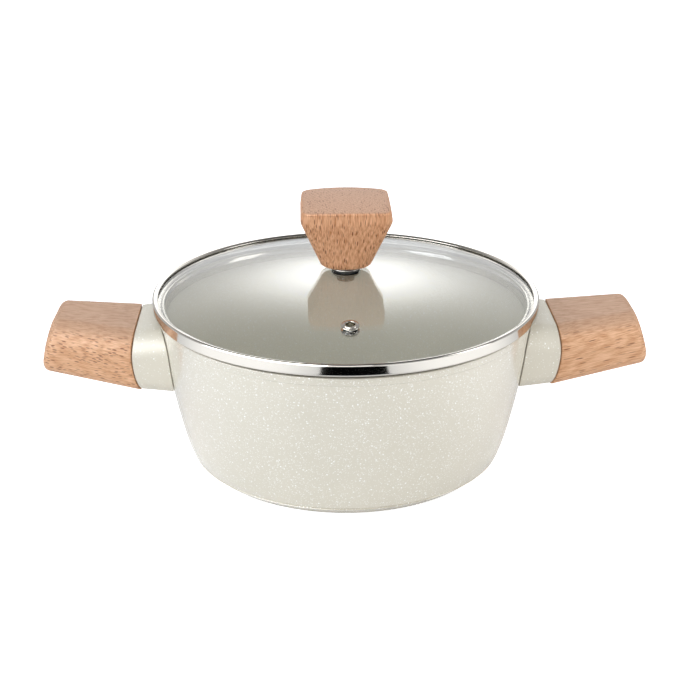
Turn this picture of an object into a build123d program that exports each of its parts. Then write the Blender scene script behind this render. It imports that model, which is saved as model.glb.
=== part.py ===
from build123d import *
import os
from math import asin, cos, degrees, radians, sin, sqrt

os.makedirs("parts", exist_ok=True)

# Casserole pot with two side handles and a domed glass lid. Millimetres, +Z up,
# +X through the right handle, -Y to the front (steam vent side), origin under the base centre.

# Pot: pressed aluminium, thin wall and thick floor
base_radius = 80.0  # flat underside
foot_radius = 84.2  # crease above the bevelled foot
foot_height = 4.4
rim_radius = 100.8  # outside of the wall at the rim
pot_height = 86.0
waist_height = 38.0  # where the lower curve of the wall runs into the upper one
waist_bulge = 3.4  # how far the waist stands outside a straight line from foot to rim
lower_bow = 1.0  # bow of the lower curve between foot and waist
wall = 2.2
floor_thickness = 5.0
floor_fillet = 9.0
lip_height = 6.4  # thicker band of wall under the rim
lip_step = 0.35
rim_round = 0.7

# Steel disc let into the underside
disc_radius = 66.0
disc_thickness = 1.0
disc_gap = 0.1

# Side handles: coated bracket, beech grip, one long bolt into a stud on the wall
handle_height = 60.0  # middle of the seam between bracket and grip
handle_stand_off = 12.0  # from the rim's outside to the seam
handle_rise = 10.7  # degrees that the handle climbs outwards
section_height = 34.6  # section of the grip at the seam
section_top = 63.4
section_bottom = 44.0
section_top_round = 11.0
section_bottom_round = 14.0
grip_length = 47.4
end_tilt = 17.0  # degrees that the end face leans back
end_height = 28.8
end_top = 56.0
end_bottom = 39.0
end_top_round = 12.0
end_bottom_round = 12.0
end_edge_round = 2.5
bracket_inset = 0.5  # bracket section inside the grip's at the seam
seam_gap = 0.4
bracket_gap = 0.6  # joint line between bracket and pot wall
root_flare = 2.2  # how much wider and deeper each side of the bracket is at its root
root_overrun = 3.0

# Handle fixings
stud_radius = 5.0
stud_bore_depth = 10.0
weld_gap = 0.05
web = 3.0  # bracket metal between stud and grip
bolt_radius = 2.5
bolt_grip_in_stud = 8.0
bolt_head_radius = 4.25
bolt_head_height = 5.0
bolt_key_radius = 2.3
bolt_key_depth = 2.5
key_sides = 6  # socket of the bolt and screw heads
washer_radius = 5.2
washer_thickness = 1.0
head_recess = 9.0  # counterbore in the end of the grip
thread_clearance = 0.05
hole_clearance = 0.2

# Lid: glass dome in a rolled steel band
band_overhang = 3.2  # band outside the pot's rim
band_edge = 1.4  # band metal outside the glass
band_round = 1.1
sheet = 0.8
skirt_depth = 6.5
skirt_clearance = 0.4
hem_round = 0.35
lip_cover = 1.4  # how far the band's lip covers the glass
lip_clearance = 0.1
glass_gap = 0.15
glass_edge_height = 3.8
glass_thickness = 4.0
glass_rise = 15.0

# Steam vent
vent_from_rim = 30.8  # from the outside of the pot's rim in to the vent's middle
vent_bore_radius = 2.4
eyelet_tube_radius = 3.2
eyelet_flange_radius = 4.7
eyelet_flange_height = 0.7
eyelet_collar_radius = 3.6
eyelet_collar_height = 0.9
eyelet_collar_round = 0.4
eyelet_roll_radius = 4.2
eyelet_roll_height = 0.7
vent_gasket_radius = 4.4
vent_gasket_thickness = 0.5
vent_ring_radius = 4.7
vent_ring_thickness = 0.8

# Knob and its fixings
plate_radius = 7.9
plate_thickness = 0.9
plate_round = 0.3
knob_gasket_radius = 7.4
knob_gasket_thickness = 1.7
knob_height = 36.0
knob_base_width = 25.8
knob_base_depth = 24.0
knob_base_bulge = 4.5  # front and back are bowed out by this much at the base
knob_base_corner_round = 5.0
knob_shoulder_height = 27.6
knob_shoulder_width = 47.6
knob_shoulder_depth = 48.0
knob_top_width = 46.0
knob_top_depth = 52.4
knob_bulge = 4.2  # the same at shoulder and top
knob_corner_round = 4.5
knob_base_round = 2.0
knob_top_round = 1.2
crown_radius = 190.0  # sphere of the crowned top
insert_radius = 4.0
insert_length = 16.0
insert_clearance = 0.05
screw_radius = 2.5
screw_length_in_insert = 13.0
screw_head_radius = 4.8
screw_head_height = 3.0
screw_key_radius = 2.0
screw_key_depth = 1.6
glass_hole_clearance = 1.0
screw_washer_radius = 7.0
screw_washer_thickness = 1.0
lower_gasket_radius = 7.5
lower_gasket_thickness = 1.0


def lean_radius(height):
    """Radius of the straight line from the foot crease to the rim, at a height."""
    share = (height - foot_height) / (pot_height - foot_height)
    return foot_radius + share * (rim_radius - foot_radius)


def pot_outside(inset=0.0, base=base_radius):
    """Half section inside the pot's outer wall, moved in by inset: foot, two tangent arcs, rim."""
    foot = (foot_radius - inset, foot_height)
    waist = (lean_radius(waist_height) + waist_bulge - inset, waist_height)
    rim = (rim_radius - inset, pot_height)
    bow = ((foot[0] + waist[0]) / 2 + lower_bow, (foot_height + waist_height) / 2)
    with BuildSketch(Plane.XZ) as section:
        with BuildLine():
            lower = ThreePointArc(foot, bow, waist)
            TangentArc(waist, rim, tangent=lower % 1)
            Polyline(rim, (0, pot_height), (0, 0), (base - inset, 0), foot)
        make_face()
    return section.sketch


def pot_cavity():
    """Half section of the hollow: the outside moved in by the wall, cut off at the floor."""
    with BuildSketch(Plane.XZ) as section:
        add(pot_outside(wall, foot_radius).faces()[0].moved(Plane.XZ.location.inverse()))
        with Locations((0, floor_thickness)):
            Rectangle(rim_radius, pot_height, align=(Align.MIN, Align.MIN), mode=Mode.INTERSECT)
        corner = section.vertices().group_by(Axis.Y)[0].sort_by(Axis.X)[-1]
        fillet(corner, floor_fillet)
    return section.sketch


def pot_lip():
    """Half section of the thicker band under the rim."""
    with BuildSketch(Plane.XZ) as section:
        add(pot_outside(-lip_step).faces()[0].moved(Plane.XZ.location.inverse()))
        with Locations((0, pot_height - lip_height)):
            Rectangle(2 * rim_radius, lip_height, align=(Align.MIN, Align.MIN), mode=Mode.INTERSECT)
    return section.sketch


# Pot shell
with BuildPart() as pot_shell:
    revolve(pot_outside(), axis=Axis.Z)
    revolve(pot_lip(), axis=Axis.Z)
    revolve(pot_cavity(), axis=Axis.Z, mode=Mode.SUBTRACT)
    with BuildSketch(Plane.XY):
        Circle(disc_radius + disc_gap)
    extrude(amount=disc_thickness, mode=Mode.SUBTRACT)
    fillet(pot_shell.faces().sort_by(Axis.Z)[-1].edges(), rim_round)
pot_shell.part.label = "pot_shell"
export_step(pot_shell.part, "parts/pot_shell.step")

# Induction disc, flush with the underside
with BuildPart() as induction_disc:
    with BuildSketch(Plane.XY):
        Circle(disc_radius)
    extrude(amount=disc_thickness)
induction_disc.part.label = "induction_disc"
export_step(induction_disc.part, "parts/induction_disc.step")

# Planes of the right handle: seam, end face, and steps along its axis
seam_x = rim_radius + handle_stand_off
axis_direction = Vector(cos(radians(handle_rise)), 0, sin(radians(handle_rise)))
seam_middle = Vector(seam_x, 0, handle_height)
end_middle = seam_middle + axis_direction * grip_length
across = (0, 1, 0)
seam_plane = Plane(seam_middle, x_dir=across, z_dir=(1, 0, 0))
end_plane = Plane(end_middle, x_dir=across, z_dir=(cos(radians(end_tilt)), 0, sin(radians(end_tilt))))
axis_plane = Plane(seam_middle, x_dir=across, z_dir=axis_direction)

# The root section lies inside the wall even at the bracket's lowest corners
root_bottom = handle_height - section_height / 2 - root_flare
root_half_width = section_top / 2 + root_flare
root_x = sqrt(lean_radius(root_bottom) ** 2 - root_half_width**2) - root_overrun
root_plane = Plane((root_x, 0, handle_height), x_dir=across, z_dir=(1, 0, 0))


def handle_section(plane, top, bottom, height, top_round, bottom_round, grow=0.0):
    """Flat-topped section that narrows to a rounder belly, centred on its plane."""
    half = height / 2 + grow
    with BuildSketch(plane) as section:
        with BuildLine():
            Polyline(
                (-top / 2 - grow, half),
                (-bottom / 2 - grow, -half),
                (bottom / 2 + grow, -half),
                (top / 2 + grow, half),
                close=True,
            )
        make_face()
        fillet(section.vertices().group_by(Axis.Y)[-1], top_round)
        fillet(section.vertices().group_by(Axis.Y)[0], bottom_round)
    return section.sketch


def wall_clearance(gap):
    """Half section that a handle piece stays out of: the pot grown by a gap, carried up past the rim."""
    with BuildSketch(Plane.XZ) as section:
        add(pot_outside(-gap).faces()[0].moved(Plane.XZ.location.inverse()))
        with Locations((0, pot_height)):
            Rectangle(rim_radius + gap, handle_height, align=(Align.MIN, Align.MIN))
    return section.sketch


def seam_section(plane, grow):
    """Section of the handle at the seam, grown or shrunk all round."""
    return handle_section(
        plane, section_top, section_bottom, section_height, section_top_round, section_bottom_round, grow
    )


# Stud, welded to the pot wall where the handle's axis meets it
wall_depth = seam_x - root_x
with BuildPart() as right_handle_stud:
    with BuildSketch(axis_plane.offset(-wall_depth)):
        Circle(stud_radius)
    extrude(amount=wall_depth - web)
    with BuildSketch(axis_plane.offset(-web)):
        Circle(bolt_radius + thread_clearance)
    extrude(amount=-stud_bore_depth, mode=Mode.SUBTRACT)
    revolve(wall_clearance(weld_gap), axis=Axis.Z, mode=Mode.SUBTRACT)
right_handle_stud.part.label = "right_handle_stud"
export_step(right_handle_stud.part, "parts/right_handle_stud.step")

# Bracket, seated on the stud's end and shaped to the wall
with BuildPart() as right_handle_bracket:
    loft([seam_section(root_plane, root_flare), seam_section(seam_plane, -bracket_inset)], ruled=True)
    revolve(wall_clearance(bracket_gap), axis=Axis.Z, mode=Mode.SUBTRACT)
    with BuildSketch(axis_plane.offset(-web)):
        Circle(stud_radius + hole_clearance)
    extrude(amount=-wall_depth, mode=Mode.SUBTRACT)
    with BuildSketch(axis_plane.offset(-wall_depth)):
        Circle(bolt_radius + hole_clearance)
    extrude(amount=2 * wall_depth, mode=Mode.SUBTRACT)
right_handle_bracket.part.label = "right_handle_bracket"
export_step(right_handle_bracket.part, "parts/right_handle_bracket.step")

# Grip: beech, bored through for the bolt and recessed for its head
recess_floor = grip_length - head_recess
with BuildPart() as right_handle_grip:
    end_section = handle_section(
        end_plane, end_top, end_bottom, end_height, end_top_round, end_bottom_round
    )
    loft([seam_section(seam_plane.offset(seam_gap), 0), end_section], ruled=True)
    fillet(right_handle_grip.faces().sort_by(Axis.X)[-1].edges(), end_edge_round)
    with BuildSketch(axis_plane.offset(-wall_depth)):
        Circle(bolt_radius + hole_clearance)
    extrude(amount=wall_depth + grip_length, mode=Mode.SUBTRACT)
    with BuildSketch(axis_plane.offset(recess_floor)):
        Circle(washer_radius + hole_clearance)
    extrude(amount=2 * head_recess, mode=Mode.SUBTRACT)
right_handle_grip.part.label = "right_handle_grip"
export_step(right_handle_grip.part, "parts/right_handle_grip.step")

# Washer and bolt in the recess
with BuildPart() as right_handle_washer:
    with BuildSketch(axis_plane.offset(recess_floor)):
        Circle(washer_radius)
        Circle(bolt_radius + hole_clearance, mode=Mode.SUBTRACT)
    extrude(amount=washer_thickness)
right_handle_washer.part.label = "right_handle_washer"
export_step(right_handle_washer.part, "parts/right_handle_washer.step")

bolt_seat = recess_floor + washer_thickness
bolt_length = bolt_seat + web + bolt_grip_in_stud
with BuildPart() as right_handle_bolt:
    with BuildSketch(axis_plane.offset(bolt_seat)):
        Circle(bolt_radius)
    extrude(amount=-bolt_length)
    with BuildSketch(axis_plane.offset(bolt_seat)):
        Circle(bolt_head_radius)
    extrude(amount=bolt_head_height)
    with BuildSketch(axis_plane.offset(bolt_seat + bolt_head_height)):
        RegularPolygon(bolt_key_radius, key_sides)
    extrude(amount=-bolt_key_depth, mode=Mode.SUBTRACT)
right_handle_bolt.part.label = "right_handle_bolt"
export_step(right_handle_bolt.part, "parts/right_handle_bolt.step")

# Left handle: the same five pieces on the other side
right_pieces = {
    "left_handle_stud": right_handle_stud.part,
    "left_handle_bracket": right_handle_bracket.part,
    "left_handle_grip": right_handle_grip.part,
    "left_handle_washer": right_handle_washer.part,
    "left_handle_bolt": right_handle_bolt.part,
}
for name, right_piece in right_pieces.items():
    with BuildPart() as left_piece:
        mirror(right_piece, about=Plane.YZ)
    left_piece.part.label = name
    export_step(left_piece.part, f"parts/{name}.step")

# Lid levels and radii, worked up from the pot's rim
band_radius = rim_radius + band_overhang
channel_radius = band_radius - band_edge
glass_radius = channel_radius - glass_gap
seat_z = pot_height + sheet
glass_corner_z = seat_z + glass_edge_height
dome_top_z = glass_corner_z + glass_rise
dome_radius = (glass_radius**2 + glass_rise**2) / (2 * glass_rise)
dome_centre_z = dome_top_z - dome_radius
under_radius = dome_radius - glass_thickness
under_top_z = dome_top_z - glass_thickness
lip_radius = glass_radius - lip_cover
skirt_bottom_z = pot_height - skirt_depth
skirt_radius = lean_radius(skirt_bottom_z) - wall - skirt_clearance


def dome_z(radius, sphere_radius):
    """Height of a sphere about the dome's centre, at a distance from the lid's axis."""
    return dome_centre_z + sqrt(sphere_radius**2 - radius**2)


def under_sag(radius):
    """How far a flat disc of that radius stays off the hollow underside of the dome."""
    return under_radius - sqrt(under_radius**2 - radius**2)


# Rolled steel band: lip over the glass, channel, flange on the rim, skirt inside the mouth
lip_under_z = dome_z(lip_radius, dome_radius) + lip_clearance
band_top_z = lip_under_z + sheet
with BuildPart() as lid_rim_band:
    with BuildSketch(Plane.XZ) as band_section:
        with BuildLine():
            Polyline(
                (lip_radius, lip_under_z),
                (lip_radius, band_top_z),
                (band_radius, band_top_z),
                (band_radius, pot_height),
                (skirt_radius, pot_height),
                (skirt_radius, skirt_bottom_z),
                (skirt_radius - sheet, skirt_bottom_z),
                (skirt_radius - sheet, seat_z),
                (channel_radius, seat_z),
                (channel_radius, lip_under_z),
                close=True,
            )
        make_face()
        outer = band_section.vertices().group_by(Axis.X)[-1]
        fillet(outer, band_round)
        fillet(band_section.vertices().group_by(Axis.Y)[0], hem_round)
    revolve(axis=Axis.Z)
lid_rim_band.part.label = "lid_rim_band"
export_step(lid_rim_band.part, "parts/lid_rim_band.step")

# Vent frame: square to the dome at the front
vent_offset = rim_radius - vent_from_rim
vent_slope = degrees(asin(vent_offset / dome_radius))
vent_normal = (0, -sin(radians(vent_slope)), cos(radians(vent_slope)))
vent_middle = (0, -vent_offset, dome_z(vent_offset, dome_radius))
vent_plane = Plane(vent_middle, x_dir=(1, 0, 0), z_dir=vent_normal)
vent_under_plane = vent_plane.offset(-glass_thickness - under_sag(vent_ring_radius))

# Glass dome with a ground edge, a knob hole and a vent hole
knob_hole_radius = screw_radius + glass_hole_clearance
seat_radius = sqrt(under_radius**2 - (seat_z - dome_centre_z) ** 2)
with BuildPart() as lid_glass:
    with BuildSketch(Plane.XZ):
        with BuildLine():
            top_middle = glass_radius / 2
            ThreePointArc(
                (0, dome_top_z),
                (top_middle, dome_z(top_middle, dome_radius)),
                (glass_radius, glass_corner_z),
            )
            Polyline((glass_radius, glass_corner_z), (glass_radius, seat_z), (seat_radius, seat_z))
            under_middle = seat_radius / 2
            ThreePointArc(
                (seat_radius, seat_z),
                (under_middle, dome_z(under_middle, under_radius)),
                (0, under_top_z),
            )
            Line((0, under_top_z), (0, dome_top_z))
        make_face()
    revolve(axis=Axis.Z)
    with BuildSketch(Plane.XY.offset(under_top_z - glass_thickness)):
        Circle(knob_hole_radius)
    extrude(amount=3 * glass_thickness, mode=Mode.SUBTRACT)
    with BuildSketch(vent_plane.offset(glass_thickness)):
        Circle(eyelet_tube_radius + hole_clearance)
    extrude(amount=-3 * glass_thickness, mode=Mode.SUBTRACT)
lid_glass.part.label = "lid_glass"
export_step(lid_glass.part, "parts/lid_glass.step")

# Vent: gasket on the glass, ring under it, eyelet with a collar through both and rolled over below
with BuildPart() as vent_gasket:
    with BuildSketch(vent_plane):
        Circle(vent_gasket_radius)
        Circle(eyelet_tube_radius + hole_clearance, mode=Mode.SUBTRACT)
    extrude(amount=vent_gasket_thickness)
vent_gasket.part.label = "vent_gasket"
export_step(vent_gasket.part, "parts/vent_gasket.step")

with BuildPart() as vent_ring:
    with BuildSketch(vent_under_plane):
        Circle(vent_ring_radius)
        Circle(eyelet_tube_radius + hole_clearance, mode=Mode.SUBTRACT)
    extrude(amount=-vent_ring_thickness)
vent_ring.part.label = "vent_ring"
export_step(vent_ring.part, "parts/vent_ring.step")

eyelet_plane = vent_plane.offset(vent_gasket_thickness)
collar_plane = eyelet_plane.offset(eyelet_flange_height)
eyelet_top = eyelet_flange_height + eyelet_collar_height
roll_plane = vent_under_plane.offset(-vent_ring_thickness)
eyelet_length = (eyelet_plane.origin - roll_plane.origin).length + eyelet_roll_height
with BuildPart() as vent_eyelet:
    with BuildSketch(eyelet_plane):
        Circle(eyelet_flange_radius)
    extrude(amount=eyelet_flange_height)
    with BuildSketch(collar_plane):
        Circle(eyelet_collar_radius)
    extrude(amount=eyelet_collar_height)
    fillet(vent_eyelet.faces().sort_by(Axis.Z)[-1].edges(), eyelet_collar_round)
    with BuildSketch(eyelet_plane):
        Circle(eyelet_tube_radius)
    extrude(amount=-eyelet_length)
    with BuildSketch(roll_plane):
        Circle(eyelet_roll_radius)
    extrude(amount=-eyelet_roll_height)
    with BuildSketch(collar_plane.offset(eyelet_collar_height)):
        Circle(vent_bore_radius)
    extrude(amount=-eyelet_top - eyelet_length, mode=Mode.SUBTRACT)
vent_eyelet.part.label = "vent_eyelet"
export_step(vent_eyelet.part, "parts/vent_eyelet.step")

# Knob stack on top of the dome: steel plate, gasket, knob with a threaded insert
gasket_z = dome_top_z + plate_thickness
knob_z = gasket_z + knob_gasket_thickness
with BuildPart() as knob_plate:
    with BuildSketch(Plane.XY.offset(dome_top_z)):
        Circle(plate_radius)
        Circle(screw_radius + hole_clearance, mode=Mode.SUBTRACT)
    extrude(amount=plate_thickness)
    fillet(knob_plate.faces().sort_by(Axis.Z)[-1].outer_wire().edges(), plate_round)
knob_plate.part.label = "knob_plate"
export_step(knob_plate.part, "parts/knob_plate.step")

with BuildPart() as knob_gasket:
    with BuildSketch(Plane.XY.offset(gasket_z)):
        Circle(knob_gasket_radius)
        Circle(screw_radius + hole_clearance, mode=Mode.SUBTRACT)
    extrude(amount=knob_gasket_thickness)
knob_gasket.part.label = "knob_gasket"
export_step(knob_gasket.part, "parts/knob_gasket.step")


def knob_section(height, width, depth, bulge, corner_round):
    """Outline with bowed front and back, at a height above the knob's underside."""
    side = width / 2
    face = depth / 2
    corner = face - bulge
    with BuildSketch(Plane.XY.offset(knob_z + height)) as section:
        with BuildLine():
            ThreePointArc((-side, -corner), (0, -face), (side, -corner))
            Line((side, -corner), (side, corner))
            ThreePointArc((side, corner), (0, face), (-side, corner))
            Line((-side, corner), (-side, -corner))
        make_face()
        fillet(section.vertices(), corner_round)
    return section.sketch


with BuildPart() as knob:
    loft(
        [
            knob_section(0, knob_base_width, knob_base_depth, knob_base_bulge, knob_base_corner_round),
            knob_section(
                knob_shoulder_height, knob_shoulder_width, knob_shoulder_depth, knob_bulge, knob_corner_round
            ),
            knob_section(knob_height, knob_top_width, knob_top_depth, knob_bulge, knob_corner_round),
        ],
        ruled=True,
    )
    with Locations((0, 0, knob_z + knob_height - crown_radius)):
        Sphere(crown_radius, mode=Mode.INTERSECT)
    fillet(knob.faces().sort_by(Axis.Z)[-1].edges(), knob_top_round)
    fillet(knob.faces().sort_by(Axis.Z)[0].edges(), knob_base_round)
    with BuildSketch(Plane.XY.offset(knob_z)):
        Circle(insert_radius + insert_clearance)
    extrude(amount=insert_length, mode=Mode.SUBTRACT)
knob.part.label = "knob"
export_step(knob.part, "parts/knob.step")

with BuildPart() as knob_insert:
    with BuildSketch(Plane.XY.offset(knob_z)):
        Circle(insert_radius)
        Circle(screw_radius + thread_clearance, mode=Mode.SUBTRACT)
    extrude(amount=insert_length)
knob_insert.part.label = "knob_insert"
export_step(knob_insert.part, "parts/knob_insert.step")

# Under the glass: gasket, washer and the screw that draws the knob down
lower_gasket_z = under_top_z - under_sag(lower_gasket_radius)
with BuildPart() as lower_gasket:
    with BuildSketch(Plane.XY.offset(lower_gasket_z)):
        Circle(lower_gasket_radius)
        Circle(screw_radius + hole_clearance, mode=Mode.SUBTRACT)
    extrude(amount=-lower_gasket_thickness)
lower_gasket.part.label = "lower_gasket"
export_step(lower_gasket.part, "parts/lower_gasket.step")

screw_washer_z = lower_gasket_z - lower_gasket_thickness
with BuildPart() as screw_washer:
    with BuildSketch(Plane.XY.offset(screw_washer_z)):
        Circle(screw_washer_radius)
        Circle(screw_radius + hole_clearance, mode=Mode.SUBTRACT)
    extrude(amount=-screw_washer_thickness)
screw_washer.part.label = "screw_washer"
export_step(screw_washer.part, "parts/screw_washer.step")

screw_seat_z = screw_washer_z - screw_washer_thickness
with BuildPart() as knob_screw:
    with BuildSketch(Plane.XY.offset(screw_seat_z)):
        Circle(screw_radius)
    extrude(amount=knob_z + screw_length_in_insert - screw_seat_z)
    with BuildSketch(Plane.XY.offset(screw_seat_z)):
        Circle(screw_head_radius)
    extrude(amount=-screw_head_height)
    with BuildSketch(Plane.XY.offset(screw_seat_z - screw_head_height)):
        RegularPolygon(screw_key_radius, key_sides)
    extrude(amount=screw_key_depth, mode=Mode.SUBTRACT)
knob_screw.part.label = "knob_screw"
export_step(knob_screw.part, "parts/knob_screw.step")
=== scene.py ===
from math import asin, cos, hypot, pi, radians, sin, sqrt

import bmesh
import bpy
import numpy as np
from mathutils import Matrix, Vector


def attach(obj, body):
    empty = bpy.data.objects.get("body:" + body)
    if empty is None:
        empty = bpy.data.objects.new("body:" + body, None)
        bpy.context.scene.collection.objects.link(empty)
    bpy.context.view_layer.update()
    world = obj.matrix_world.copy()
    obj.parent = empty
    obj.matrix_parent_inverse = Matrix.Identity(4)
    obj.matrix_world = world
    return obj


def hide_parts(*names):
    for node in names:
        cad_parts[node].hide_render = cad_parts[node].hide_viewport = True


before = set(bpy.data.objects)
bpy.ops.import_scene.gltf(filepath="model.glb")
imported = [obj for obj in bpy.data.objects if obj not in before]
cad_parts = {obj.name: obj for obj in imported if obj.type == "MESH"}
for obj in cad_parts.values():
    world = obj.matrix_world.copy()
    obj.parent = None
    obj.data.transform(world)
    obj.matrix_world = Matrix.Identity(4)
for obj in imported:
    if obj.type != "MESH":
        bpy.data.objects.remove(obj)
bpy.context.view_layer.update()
mm = 0.001  # sizes below are millimetres, meshes are metres
print("frame loaded:", len(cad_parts), "nodes")


# sRGB to linear: c / 12.92 up to 0.04045, above it ((c + 0.055) / 1.055) to the power 2.4
def linearColour(hexColour):
    channels = [int(hexColour[i:i + 2], 16) / 255 for i in (1, 3, 5)]
    return [c / 12.92 if c <= 0.04045 else ((c + 0.055) / 1.055) ** 2.4 for c in channels] + [1.0]


# Adds a node: settings are its own properties or, by name or number, its inputs; links are what feeds an input
def addNode(tree, kind, settings={}, links={}):
    node = tree.nodes.new(kind)
    for key, value in settings.items():
        if key in node.bl_rna.properties.keys():
            setattr(node, key, value)
        else:
            node.inputs[key].default_value = value
    for key, source in links.items():
        tree.links.new(source.outputs[0] if isinstance(source, bpy.types.Node) else source, node.inputs[key])
    return node


# A new material with its shader, and the Object coordinates its pattern reads
def newFinish(name, settings):
    finish = bpy.data.materials.new(name)
    finish.use_nodes = True
    tree = finish.node_tree
    tree.nodes.clear()
    shader = addNode(tree, "ShaderNodeBsdfPrincipled", settings)
    addNode(tree, "ShaderNodeOutputMaterial", links={"Surface": shader})
    place = addNode(tree, "ShaderNodeTexCoord").outputs["Object"]
    return finish, tree, shader, place


# A piece from a grid of points (rows, columns, 3): each four neighbours make a face, the columns close
# round, and closedRows joins the last row to the first. Equal points at poles are merged.
def gridPiece(name, points, closedRows=False, sharpAngle=38):
    rows, columns = points.shape[:2]
    index = np.arange(rows * columns).reshape(rows, columns)
    index = np.hstack([index, index[:, :1]])
    if closedRows:
        index = np.vstack([index, index[:1]])
    quads = np.stack([index[:-1, :-1], index[:-1, 1:], index[1:, 1:], index[1:, :-1]], -1).reshape(-1, 4)
    mesh = bpy.data.meshes.new(name)
    mesh.from_pydata((points.reshape(-1, 3) * mm).tolist(), [], quads.tolist())
    work = bmesh.new()
    work.from_mesh(mesh)
    bmesh.ops.remove_doubles(work, verts=work.verts, dist=1e-6)
    bmesh.ops.recalc_face_normals(work, faces=work.faces)
    work.to_mesh(mesh)
    work.free()
    mesh.shade_smooth()
    mesh.set_sharp_from_angle(angle=radians(sharpAngle))
    piece = bpy.data.objects.new(name, mesh)
    bpy.context.scene.collection.objects.link(piece)
    return piece


# Body, slot (not used), finish and the CAD nodes that a piece stands for
def dressPiece(piece, body, slot, finish, *nodes):
    piece.data.materials.clear()
    piece.data.materials.append(finish)
    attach(piece, body)
    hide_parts(*nodes)


# Straight runs with rounded corners: an arc starts radius / tan(half corner angle) before the corner, ends as
# far after it, and its centre lies on the bisector at radius / sin(half angle). Runs get points near their ends.
def roundedPath(corners, radii, closed=True, arcSteps=7, runShares=(0.06, 0.3, 0.7, 0.94)):
    corners = np.asarray(corners, float)
    radii = np.asarray(radii, float)[:, None]
    toLast = np.roll(corners, 1, 0) - corners
    toNext = np.roll(corners, -1, 0) - corners
    toLast /= np.linalg.norm(toLast, axis=1, keepdims=True)
    toNext /= np.linalg.norm(toNext, axis=1, keepdims=True)
    half = np.arccos(np.clip((toLast * toNext).sum(1, keepdims=True), -1, 1)) / 2
    half = np.clip(half, 1e-4, pi / 2 - 1e-4)
    bisector = toLast + toNext
    bisector /= np.maximum(np.linalg.norm(bisector, axis=1, keepdims=True), 1e-9)
    toCentre = bisector * radii / np.sin(half)
    first = toLast * radii / np.tan(half) - toCentre
    last = toNext * radii / np.tan(half) - toCentre
    turn = pi - 2 * half
    share = np.linspace(0, 1, arcSteps)
    firstWeight = (np.sin((1 - share) * turn) / np.sin(turn))[..., None]
    lastWeight = (np.sin(share * turn) / np.sin(turn))[..., None]
    arcs = (corners + toCentre)[:, None] + first[:, None] * firstWeight + last[:, None] * lastWeight
    ends = arcs[:, -1:]
    runs = ends + (np.roll(arcs, -1, 0)[:, :1] - ends) * np.asarray(runShares)[:, None]
    path = np.concatenate([arcs, runs], 1).reshape(-1, 2)
    if not closed:
        path = path[:len(path) - len(runShares)]
    steps = np.linalg.norm(np.diff(path, axis=0), axis=1)
    return path[np.concatenate([[True], steps > 1e-6])]


# A profile of radius and height turned about an axis: origin + r cos(a) X + r sin(a) Y + h axis
def turnedPiece(name, profile, around=192, closedRows=True, origin=(0, 0, 0), tilt=0.0):
    angle = np.linspace(0, 2 * pi, around, endpoint=False)
    radius, height = profile[:, :1], profile[:, 1:]
    side, depth, up = radius * np.cos(angle), radius * np.sin(angle), height + 0 * angle
    points = np.stack([side, depth * cos(tilt) - up * sin(tilt), depth * sin(tilt) + up * cos(tilt)], -1)
    return gridPiece(name, points + np.asarray(origin), closedRows)


# Centre and radius of the circle through three points, from the two perpendicular bisectors
def circleThrough(a, b, c):
    rows = 2 * np.array([np.subtract(b, a), np.subtract(c, b)])
    sums = np.array([np.dot(b, b) - np.dot(a, a), np.dot(c, c) - np.dot(b, b)])
    centre = np.linalg.solve(rows, sums)
    return centre, hypot(*(centre - a))


# Rises from 0 to 1 as x goes from 0 to 1, flat at both ends: 3 x^2 - 2 x^3
def softStep(x):
    x = np.clip(x, 0, 1)
    return x * x * (3 - 2 * x)


# Rows between two rings of points at the given shares of the way
def rowsBetween(first, last, shares):
    return first + (last - first) * np.asarray(shares)[:, None, None]


# Speckled ceramic-type non-stick, sprayed on aluminium and baked: warm cream with white flakes under a
# glossy clear layer, so soft highlights and a faint orange peel; a paler coat where the inside attribute is 1, painted
# light for the light that reaches the inside through the glass, and dark grey on the rebate's step under the lid's
# band, painted shade
coating = dict(
    # The dark grey colour is painted shade: the step of the rebate under the lid's band is painted dark where the
    # band's shade falls
    # The inside colour is painted light: a paler coat standing in for the light that reaches the inside through the
    # glass
    cream="#DAD4C5", shade="#D3CDBD", inside="#F1EDDF", paintedRimShade="#6E6A60", flake="#FFFFFC",
    roughness=0.2, ior=1.5, clear=0.85, clearRoughness=0.14,
    largeCell=1.9, largeFlake=0.46, largeShare=0.62, largeStrength=1.0,  # mm apart, radius, cells that have one
    smallCell=0.95, smallFlake=0.28, smallShare=0.85, smallStrength=0.8,
    flakeEdge=(1.15, 0.55), faintest=0.45,  # a flake fades in between these parts of its radius
    edgeWander=0.45, wanderSize=0.8, cloudSize=28.0, peelSize=1.1, peelDepth=0.006, peelStrength=0.5,
)


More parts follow.
